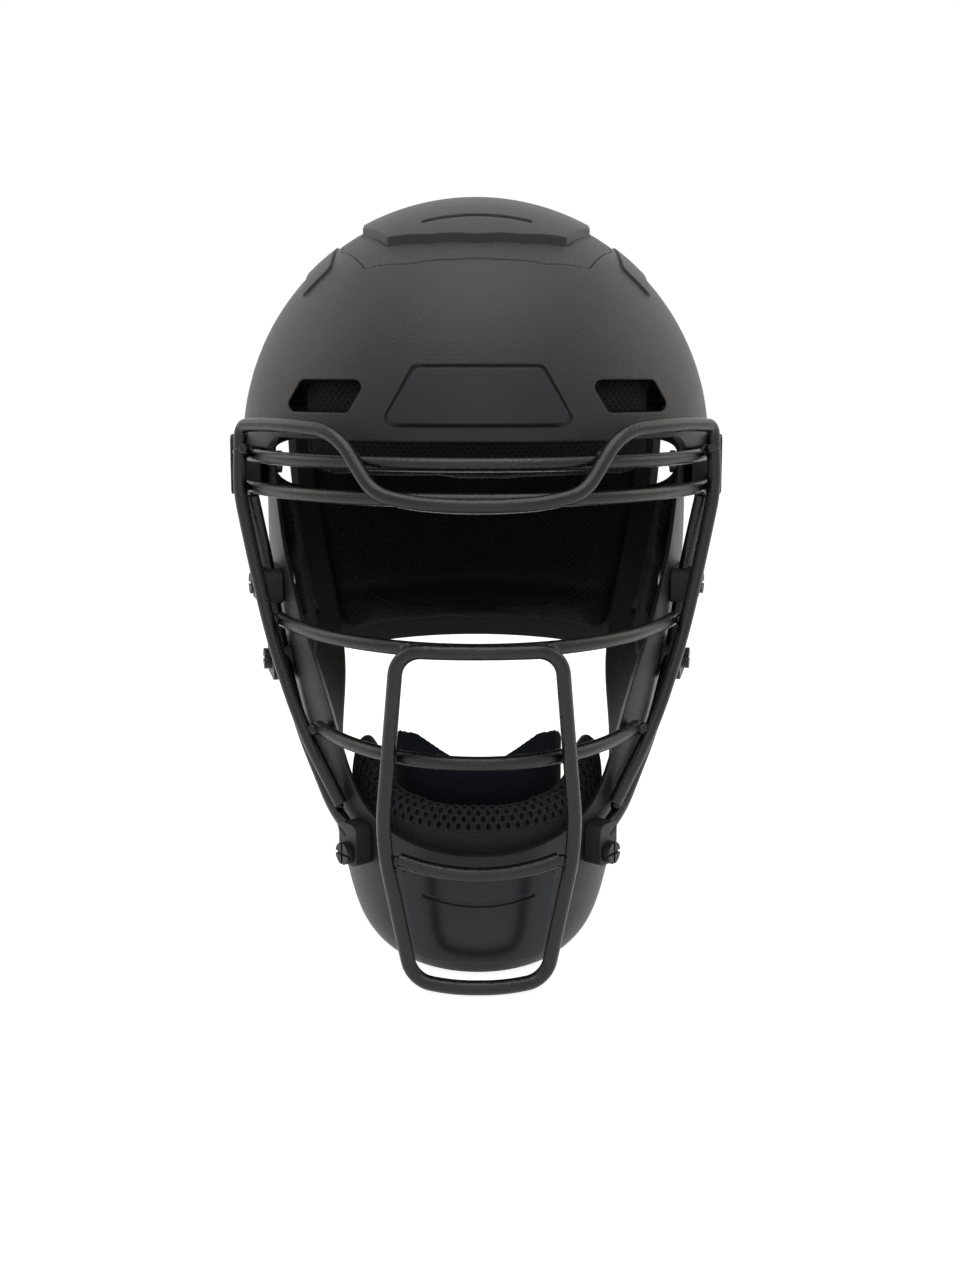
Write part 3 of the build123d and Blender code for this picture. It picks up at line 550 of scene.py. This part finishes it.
def geometry_tree(name, sockets):
    """An empty geometry tree with named inputs, and the makers of its nodes and links."""
    tree = bpy.data.node_groups.new(name, "GeometryNodeTree")
    tree.interface.new_socket("Geometry", in_out="INPUT", socket_type="NodeSocketGeometry")
    for label, kind, value in sockets:
        socket = tree.interface.new_socket(label, in_out="INPUT", socket_type=kind)
        if value is not None:
            socket.default_value = value
    tree.interface.new_socket("Geometry", in_out="OUTPUT", socket_type="NodeSocketGeometry")
    return tree, tree.nodes.new("NodeGroupInput"), tree.nodes.new("NodeGroupOutput")


def repeat_tree(name, shape):
    """A tree that puts a small shape on every point of a mesh, turned by its attributes."""
    tree, start, end = geometry_tree(name, (
        ("Length", "NodeSocketFloat", 0.002), ("Width", "NodeSocketFloat", 0.001),
        ("Height", "NodeSocketFloat", 0.001), ("Unevenness", "NodeSocketFloat", 0.1),
        ("Seed", "NodeSocketInt", 1), ("Material", "NodeSocketMaterial", None),
    ))
    given = start.outputs
    if shape == "ring":
        circle = add_node(tree, "GeometryNodeCurvePrimitiveCircle", {"Resolution": 14, "Radius": 1.0})
        profile = add_node(tree, "GeometryNodeCurvePrimitiveCircle", {"Resolution": 5, "Radius": 0.22})
        curves = {"Curve": circle.outputs[0], "Profile Curve": profile.outputs[0]}
        made = add_node(tree, "GeometryNodeCurveToMesh", curves).outputs[0]
    elif shape == "bead":
        made = add_node(tree, "GeometryNodeMeshIcoSphere", {"Radius": 1.0, "Subdivisions": 3}).outputs[0]
        lump = add_node(tree, "ShaderNodeTexNoise", {"Scale": 1.6, "Detail": 2.0})
        normal = add_node(tree, "GeometryNodeInputNormal").outputs[0]
        push = add_node(tree, "ShaderNodeVectorMath", {0: normal}, operation="SCALE")
        amount = maths(tree, "MULTIPLY_ADD", lump.outputs[0], 0.5, -0.25)
        tree.links.new(amount, push.inputs["Scale"])
        made = add_node(
            tree, "GeometryNodeSetPosition", {"Geometry": made, "Offset": push.outputs[0]}
        ).outputs[0]
    else:
        made = add_node(
            tree, "GeometryNodeMeshUVSphere", {"Segments": 8, "Rings": 5, "Radius": 1.0}
        ).outputs[0]
    sides = {place: given[name] for place, name in enumerate(("Length", "Width", "Height"))}
    size = add_node(tree, "ShaderNodeCombineXYZ", sides)
    made = add_node(tree, "GeometryNodeTransform", {"Geometry": made, "Scale": size.outputs[0]}).outputs[0]
    facing = add_node(tree, "GeometryNodeInputNamedAttribute", {"Name": "facing"}, data_type="FLOAT_VECTOR")
    along = add_node(tree, "GeometryNodeInputNamedAttribute", {"Name": "along"}, data_type="FLOAT_VECTOR")
    turned = add_node(
        tree, "FunctionNodeAlignRotationToVector", {"Vector": facing.outputs[0]}, axis="Z"
    )
    turned = add_node(
        tree, "FunctionNodeAlignRotationToVector",
        {"Rotation": turned.outputs[0], "Vector": along.outputs[0]}, axis="X", pivot_axis="Z",
    )
    low = maths(tree, "SUBTRACT", 1.0, given["Unevenness"])
    high = maths(tree, "ADD", 1.0, given["Unevenness"])
    uneven = add_node(tree, "FunctionNodeRandomValue", data_type="FLOAT")
    tree.links.new(low, uneven.inputs[2])
    tree.links.new(high, uneven.inputs[3])
    tree.links.new(given["Seed"], uneven.inputs["Seed"])
    points = add_node(tree, "GeometryNodeMeshToPoints", {"Mesh": given["Geometry"]}).outputs[0]
    placed = add_node(
        tree, "GeometryNodeInstanceOnPoints",
        {"Points": points, "Instance": made, "Rotation": turned.outputs[0], "Scale": uneven.outputs[1]},
    ).outputs[0]
    real = add_node(tree, "GeometryNodeRealizeInstances", {"Geometry": placed}).outputs[0]
    painted = add_node(
        tree, "GeometryNodeSetMaterial", {"Geometry": real, "Material": given["Material"]}
    ).outputs[0]
    tree.links.new(painted, end.inputs[0])
    return tree


def repeated(name, shape, places, size, material, unevenness=0.1, seed=1):
    """One mesh of a small shape repeated at (point, facing, along) places."""
    mesh = bpy.data.meshes.new(name)
    mesh.from_pydata([place[0] for place in places], [], [])
    for label, index in (("facing", 1), ("along", 2)):
        attribute = mesh.attributes.new(label, "FLOAT_VECTOR", "POINT")
        for item, place in zip(attribute.data, places):
            item.vector = place[index]
    work = loose_object(name, mesh)
    modifier = work.modifiers.new("repeat", "NODES")
    tree = repeat_tree(name + "_tree", shape)
    modifier.node_group = tree
    values = {
        "Length": size[0], "Width": size[1], "Height": size[2],
        "Unevenness": unevenness, "Seed": seed, "Material": material,
    }
    for item in tree.interface.items_tree:
        if item.item_type == "SOCKET" and item.in_out == "INPUT" and item.name in values:
            modifier[item.identifier] = values[item.name]
    made = baked_mesh(work)
    made.shade_smooth()
    return made


# Properties


class HelmetFinish(bpy.types.PropertyGroup):
    """Colours and sheen of the helmet's materials."""

    shell_colour: FloatVectorProperty(
        name="Shell", description="Colour of the shell's plastic", subtype="COLOR",
        default=(0.0190, 0.0188, 0.0190), min=0, max=1,
    )
    plate_colour: FloatVectorProperty(
        name="Plates", description="Colour of the brow plate and the clips", subtype="COLOR",
        default=(0.015, 0.015, 0.018), min=0, max=1,
    )
    guard_colour: FloatVectorProperty(
        name="Chin guard", description="Colour of the chin guard", subtype="COLOR",
        default=(0.006, 0.008, 0.013), min=0, max=1,
    )
    wire_colour: FloatVectorProperty(
        name="Cage", description="Colour of the cage's powder coat", subtype="COLOR",
        default=(0.007, 0.007, 0.008), min=0, max=1,
    )
    fabric_colour: FloatVectorProperty(
        name="Pads", description="Colour of the pads' mesh cover", subtype="COLOR",
        default=(0.007, 0.0075, 0.009), min=0, max=1,
    )
    lining_colour: FloatVectorProperty(
        name="Lining", description="Colour of the smooth lining at the chin", subtype="COLOR",
        default=(0.008, 0.010, 0.017), min=0, max=1,
    )
    shell_roughness: FloatProperty(
        name="Shell roughness", description="Sheen of the shell", subtype="FACTOR",
        default=0.44, min=0, max=1,
    )


class HelmetDetail(bpy.types.PropertyGroup):
    """Sizes of what repeats: weld beads, stitches and eyelets."""

    bead_size: FloatProperty(
        name="Weld bead", description="Half width of a weld bead", subtype="DISTANCE",
        default=0.0031, min=0.001, max=0.01,
    )
    stitch_length: FloatProperty(
        name="Stitch", description="Half length of a stitch", subtype="DISTANCE",
        default=0.0013, min=0.0003, max=0.005,
    )
    eyelet_pitch: FloatProperty(
        name="Eyelet pitch", description="From one eyelet of the chin pad to the next", subtype="DISTANCE",
        default=0.0042, min=0.002, max=0.02,
    )
    seed: IntProperty(name="Seed", description="Chooses the uneven sizes of what repeats", default=7, min=0)


class HelmetStage(bpy.types.PropertyGroup):
    """Camera, lamps and floor."""

    camera_distance: FloatProperty(
        name="Camera distance", description="From the camera to the face's middle", subtype="DISTANCE",
        default=0.68, min=0.2, max=5,
    )
    camera_elevation: FloatProperty(
        name="Camera elevation", description="How far the camera looks down", subtype="ANGLE",
        default=math.radians(8), min=-1.5, max=1.5,
    )
    camera_turn: FloatProperty(
        name="Camera turn", description="How far the camera stands to the helmet's left", subtype="ANGLE",
        default=math.radians(-0.5), min=-3.2, max=3.2,
    )
    key_power: FloatProperty(
        name="Overhead lamp", description="Power of the lamp above", default=5.5, min=0, unit="POWER",
    )
    side_power: FloatProperty(
        name="Side lamps", description="Power of the warm lamps at the sides", default=1.8, min=0,
        unit="POWER",
    )


# Operators


class HELMET_OT_shell(bpy.types.Operator):
    """Give the shell, the crown pieces and the plates their moulded plastic"""

    bl_idname = "helmet.shell"
    bl_label = "Finish the Shell"

    def execute(self, context):
        finish = context.scene.helmet_finish
        rough = finish.shell_roughness
        shell = moulded_plastic("shell_plastic", finish.shell_colour, rough, 0.0009, 0.00028, 0.0012)
        paint(["helmet_shell", "crown_panel"], shell)
        paint(["crown_band"], knurled_plastic("band_plastic", finish.shell_colour, rough + 0.05))
        plate = moulded_plastic("plate_plastic", finish.plate_colour, 0.42, 0.0008, 0.0001, 0.0006)
        paint(["brow_plate"], plate)
        guard = moulded_plastic("guard_plastic", finish.guard_colour, 0.30, 0.0007, 0.00006, 0.0010, 0.06)
        paint(["chin_guard"], guard)
        clip = moulded_plastic("clip_plastic", finish.plate_colour, 0.5, 0.0007, 0.00012, 0.0008)
        paint([*CLIPS, "strap_buckles_left", "strap_buckles_right"], clip)
        pale = rgba(finish.plate_colour, 1.5)[:3]
        back = moulded_plastic("back_plastic", pale, 0.6, 0.0008, 0.0002, 0.0010)
        paint(["back_plate"], back)
        return {"FINISHED"}


class HELMET_OT_cage(bpy.types.Operator):
    """Coat the wires of the face cage and lay a bead on every weld"""

    bl_idname = "helmet.cage"
    bl_label = "Coat the Cage"

    def execute(self, context):
        finish, detail = context.scene.helmet_finish, context.scene.helmet_detail
        coat = powder_coat("cage_coat", finish.wire_colour, 0.27)
        paint(WIRES, coat)
        paint(["clip_screws", "strap_rivets"], powder_coat("screw_coat", finish.wire_colour, 0.45))
        paint(["clip_nuts"], brushed_nut("nut_zinc"))
        places = []
        for x, y, z in WELDS:
            for side in (-1, 1):
                point = Vector((side * x * MM, MIDDLE_Y + y * MM, z * MM + RISE))
                facing = Vector((point.x, point.y - MIDDLE_Y, 0)).normalized()
                places.append((point, facing, Vector((0, 0, 1)).cross(facing)))
        size = Vector((1.0, 0.85, 0.8)) * detail.bead_size
        beads = repeated("weld_beads", "bead", places, size, coat, 0.12, detail.seed)
        link_object("weld_beads", beads, coat, "helmet")
        return {"FINISHED"}


class HELMET_OT_pads(bpy.types.Operator):
    """Stuff the pads and cover them in mesh"""

    bl_idname = "helmet.pads"
    bl_label = "Cover the Pads"

    def execute(self, context):
        finish, detail = context.scene.helmet_finish, context.scene.helmet_detail
        cloth = finish.fabric_colour
        front, top, side = (
            spacer_mesh(name, cloth, axes, *PAD_WEAVE)
            for name, axes in (("brow_mesh", "xz"), ("crown_mesh", "xy"), ("side_mesh", "yz"))
        )
        rear = spacer_mesh("back_mesh", cloth, "xz", *BACK_WEAVE, 0.0008)
        pads = {}
        for name, node, cover, slot, channels in (
            ("brow_cushion", "brow_pad", front, "pad_mesh", ((2, 0.2125 + RISE, 0.0022, 0.0022),)),
            ("crown_cushion", "crown_pad", top, "pad_mesh", (
                (0, 0.0, 0.0024, 0.003),
                (1, MIDDLE_Y - 0.022, 0.0024, 0.003),
                (1, MIDDLE_Y + 0.022, 0.0024, 0.003),
            )),
            *(
                (f"{part}_cushion_{hand}", f"{part}_pad_{hand}", side, "pad_mesh", (channel,))
                for part, channel in (
                    ("side", (1, MIDDLE_Y, 0.0024, 0.003)),
                    ("jaw", (2, 0.146 + RISE, 0.002, 0.0014)),
                )
                for hand in ("left", "right")
            ),
            ("back_cushion", "back_pad", rear, "back_pad_mesh", ((2, 0.118 + RISE, 0.003, 0.0022),)),
        ):
            mesh = stuffed(name, node, PAD_VOXEL, JAW_CAP if "jaw" in name else PAD_CAP, channels)
            pads[node] = mesh
            pad_piece(name, node, mesh, cover)

        chin = stuffed("chin_cushion", "chin_pad", CHIN_VOXEL, CHIN_CAP)
        chin_uv(chin)
        # The chin cover uses the pads' cloth colour raised 2.6 times: a painted sheen standing in for the
        # highlights of its glossier mesh.
        bright = rgba(cloth, 2.6)[:3]
        cover = spacer_mesh("chin_mesh", bright, "uv", *CHIN_WEAVE, 0.0008)
        cover.node_tree.nodes["Principled BSDF"].inputs["Specular IOR Level"].default_value = 0.4
        pad_piece("chin_cushion", "chin_pad", chin, cover)
        self.eyelets(chin, detail, cover)

        lining = smooth_lining("chin_lining_cloth", finish.lining_colour)
        flap = merged_copy("chin_lining")
        low, high = (Vector(corner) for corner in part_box("chin_lining"))
        for vertex in flap.vertices:
            if vertex.co.z > (low.z + high.z) / 2:
                vertex.co.z += FLAP_RISE * min(0.5, max(0.0, 1 - abs(vertex.co.x) / FLAP_MIDDLE))
        work = loose_object("chin_flap", flap)
        remesh = work.modifiers.new("remesh", "REMESH")
        remesh.mode, remesh.voxel_size = "VOXEL", FLAP_VOXEL
        smooth = work.modifiers.new("smooth", "SMOOTH")
        smooth.factor, smooth.iterations = 0.5, 3
        flap = baked_mesh(work)
        flap.shade_smooth()
        pad_piece("chin_flap", "chin_lining", flap, lining)

        thread = smooth_lining("pad_thread", rgba(cloth, 3.0)[:3])
        self.back_seam(pads["back_pad"], detail, thread)
        return {"FINISHED"}

    @staticmethod
    def eyelets(mesh, detail, cover):
        """Rows of sewn eyelets on the front and top of the chin pad, with a near-black disc in each hole as
        painted shade.
        """
        tree = BVHTree.FromPolygons([v.co for v in mesh.vertices], [p.vertices for p in mesh.polygons])
        # A near-black disc sits in each eyelet as painted shade in its hole.
        hole = smooth_lining("eyelet_hole_shade", (0.001, 0.001, 0.001))
        rings = []
        count = int(2 * EYELET_SWEEP * CHIN_REACH / detail.eyelet_pitch)
        for row, lift in enumerate(EYELET_ROWS):
            for i in range(count):
                turn = -EYELET_SWEEP + 2 * EYELET_SWEEP * (i + 0.5 * (row % 2)) / count
                centre = chin_line(turn)
                out = (Vector((centre.x, centre.y, 0)) - Vector((0, CHIN_CENTRE_Y, 0))).normalized()
                way = out * math.cos(lift) * 0.6 + Vector((0, 0, math.sin(lift)))
                found = cast(tree, centre + way.normalized() * 0.05, -way.normalized())
                if found:
                    point, normal = found
                    along = Vector((0, 0, 1)).cross(out)
                    rings.append((point + normal * 0.0001, normal, along))
        for name, shape, shares, material in (
            ("chin_eyelets", "ring", (0.30, 0.40, 0.30), cover),
            ("chin_hole_shade", "stitch", (0.24, 0.34, 0.05), hole),
        ):
            size = Vector(shares) * detail.eyelet_pitch
            rows = repeated(name, shape, rings, size, material, 0.06, detail.seed)
            link_object(name, rows, material, "helmet")

    @staticmethod
    def back_seam(mesh, detail, thread):
        """A row of stitches round the back pad's face."""
        tree = BVHTree.FromPolygons([v.co for v in mesh.vertices], [p.vertices for p in mesh.polygons])
        low, high = (Vector(corner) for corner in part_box("back_pad"))
        middle = (low + high) / 2
        half = (high - low) / 2
        places = []
        previous = None
        count = 150
        for i in range(count + 1):
            angle = 2 * math.pi * i / count
            x = 0.80 * half.x * math.copysign(abs(math.cos(angle)) ** 0.55, math.cos(angle))
            z = middle.z + 0.84 * half.z * math.copysign(abs(math.sin(angle)) ** 0.55, math.sin(angle))
            x *= 1.0 - 0.12 * (middle.z - z) / half.z
            found = cast(tree, Vector((x, MIDDLE_Y, z)), Vector((0, 1, 0)))
            if found and previous:
                along = found[0] - previous
                if along.length < 0.02:
                    places.append((found[0] + found[1] * 0.0002, found[1], along.normalized()))
            previous = found[0] if found else None
        size = Vector((1.0, 0.32, 0.3)) * detail.stitch_length
        seam = repeated("back_seam", "stitch", places, size, thread, 0.1, detail.seed)
        link_object("back_seam", seam, thread, "back_plate")


class HELMET_OT_straps(bpy.types.Operator):
    """Weave the straps that hold the back plate"""

    bl_idname = "helmet.straps"
    bl_label = "Weave the Straps"

    def execute(self, context):
        cloth = rgba(context.scene.helmet_finish.fabric_colour, 1.1)[:3]
        webbing = webbing_cloth("side_webbing", cloth, "yz")
        for side, sign in (("left", 1), ("right", -1)):
            node = f"side_straps_{side}"
            low, high = (Vector(corner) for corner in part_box(node))
            mesh = self.woven(node, 1, low.y, high.y, Vector((sign * 0.0012, 0, 0)))
            piece = link_object(f"elastic_{side}", mesh, webbing, None)
            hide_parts(node)
            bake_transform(piece)
        low, high = (Vector(corner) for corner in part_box("top_strap"))
        mesh = self.woven("top_strap", 2, low.z, high.z, Vector((0, 0.0003, 0)))
        webbing = webbing_cloth("rear_webbing", cloth, "zx")
        piece = link_object("top_webbing", mesh, webbing, "helmet")
        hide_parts("top_strap")
        return {"FINISHED"}

    @staticmethod
    def woven(node, axis, low, high, bow):
        """A strap's mesh from its CAD solid: divided along its run, rounded and bowed a little."""
        mesh = merged_copy(node)
        form = bmesh.new()
        form.from_mesh(mesh)
        bmesh.ops.dissolve_limit(form, angle_limit=0.02, verts=form.verts, edges=form.edges)
        long_edges = [
            edge for edge in form.edges if abs(edge.verts[0].co[axis] - edge.verts[1].co[axis]) > LONG_EDGE
        ]
        bmesh.ops.subdivide_edges(form, edges=long_edges, cuts=20, use_grid_fill=True)
        for vertex in form.verts:
            share = (vertex.co[axis] - low) / (high - low)
            vertex.co += bow * math.sin(math.pi * min(1, max(0, share)))
        form.to_mesh(mesh)
        form.free()
        work = loose_object(node + "_work", mesh)
        round_off = work.modifiers.new("round", "BEVEL")
        round_off.width, round_off.segments, round_off.limit_method = 0.0006, 2, "ANGLE"
        mesh = baked_mesh(work)
        mesh.shade_smooth()
        return mesh


class HELMET_OT_stage(bpy.types.Operator):
    """Lay the floor, hang the lamps and place the camera"""

    bl_idname = "helmet.stage"
    bl_label = "Set the Stage"

    def execute(self, context):
        stage = context.scene.helmet_stage
        scene = context.scene
        scene.view_settings.view_transform = "Standard"

        material, tree, shader = new_material("pale_floor")
        shader.inputs["Base Color"].default_value = (0.92, 0.92, 0.92, 1)
        shader.inputs["Roughness"].default_value = 0.95
        glow = add_node(tree, "ShaderNodeEmission", {"Color": (1, 1, 1, 1)})
        tree.links.new(maths(tree, "MULTIPLY", seen_ray(tree), FLOOR_GLOW), glow.inputs["Strength"])
        both = add_node(tree, "ShaderNodeAddShader", {0: shader.outputs[0], 1: glow.outputs[0]})
        tree.links.new(both.outputs[0], tree.nodes["Material Output"].inputs[0])
        mesh = bpy.data.meshes.new("floor")
        corners = [(x * FLOOR_REACH, y * FLOOR_REACH, 0) for x, y in ((-1, -1), (1, -1), (1, 1), (-1, 1))]
        mesh.from_pydata(corners, [], [(0, 1, 2, 3)])
        mesh.materials.append(material)
        floor = bpy.data.objects.new("floor", mesh)
        scene.collection.objects.link(floor)

        world = bpy.data.worlds.new("studio")
        world.use_nodes = True
        scene.world = world
        tree = world.node_tree
        background = tree.nodes["Background"]
        background.inputs["Color"].default_value = (1, 1, 1, 1)
        strength = maths(tree, "MULTIPLY_ADD", seen_ray(tree), 1 - AMBIENT, AMBIENT)
        tree.links.new(strength, background.inputs["Strength"])

        target = Vector((0, MIDDLE_Y, TARGET_HEIGHT))
        for name, place, size, power, colour in (
            ("lamp_above", (0, -0.25, 1.15), 0.9, stage.key_power, (0.97, 0.98, 1.0)),
            ("lamp_left", (-1.0, 0.25, 0.85), 0.7, stage.side_power, (1.0, 0.84, 0.66)),
            ("lamp_right", (1.0, 0.25, 0.85), 0.7, stage.side_power, (1.0, 0.84, 0.66)),
            ("lamp_front", (0, -1.5, 0.75), 0.6, 1.2, (0.85, 0.93, 1.0)),
        ):
            lamp = bpy.data.lights.new(name, "AREA")
            lamp.energy, lamp.size, lamp.color = power, size, colour
            item = bpy.data.objects.new(name, lamp)
            item.location = place
            item.rotation_euler = (target - Vector(place)).to_track_quat("-Z", "Y").to_euler()
            scene.collection.objects.link(item)

        camera = bpy.data.cameras.new("camera")
        camera.sensor_width = SENSOR
        camera.lens = SENSOR * FOCAL_PIXELS / PHOTO_HEIGHT
        camera.shift_x = SHIFT_ACROSS / PHOTO_HEIGHT
        camera.shift_y = SHIFT_UP / PHOTO_HEIGHT
        item = bpy.data.objects.new("camera", camera)
        lift, turn = stage.camera_elevation, stage.camera_turn
        back = Vector((math.sin(turn) * math.cos(lift), -math.cos(turn) * math.cos(lift), math.sin(lift)))
        item.location = target + back * stage.camera_distance
        item.rotation_euler = (-back).to_track_quat("-Z", "Y").to_euler()
        scene.collection.objects.link(item)
        scene.camera = item
        return {"FINISHED"}


class HELMET_PT_panel(bpy.types.Panel):
    """Lists the helmet's steps"""

    bl_idname = "HELMET_PT_panel"
    bl_label = "Catcher's Helmet"
    bl_space_type = "VIEW_3D"
    bl_region_type = "UI"
    bl_category = "Helmet"

    def draw(self, context):
        for operator in OPERATORS:
            self.layout.operator(operator.bl_idname)
        scene = context.scene
        for group in (scene.helmet_finish, scene.helmet_detail, scene.helmet_stage):
            for name in group.bl_rna.properties.keys():
                if name not in ("rna_type", "name"):
                    self.layout.prop(group, name)


OPERATORS = (HELMET_OT_shell, HELMET_OT_cage, HELMET_OT_pads, HELMET_OT_straps, HELMET_OT_stage)
CLASSES = (HelmetFinish, HelmetDetail, HelmetStage, *OPERATORS, HELMET_PT_panel)


def register():
    for item in CLASSES:
        bpy.utils.register_class(item)
    bpy.types.Scene.helmet_finish = PointerProperty(type=HelmetFinish)
    bpy.types.Scene.helmet_detail = PointerProperty(type=HelmetDetail)
    bpy.types.Scene.helmet_stage = PointerProperty(type=HelmetStage)


def unregister():
    del bpy.types.Scene.helmet_stage
    del bpy.types.Scene.helmet_detail
    del bpy.types.Scene.helmet_finish
    for item in reversed(CLASSES):
        bpy.utils.unregister_class(item)


def main():
    """Runs every step in order."""
    register()
    bpy.ops.helmet.shell()
    bpy.ops.helmet.cage()
    bpy.ops.helmet.pads()
    bpy.ops.helmet.straps()
    bpy.ops.helmet.stage()


if __name__ == "__main__":
    main()
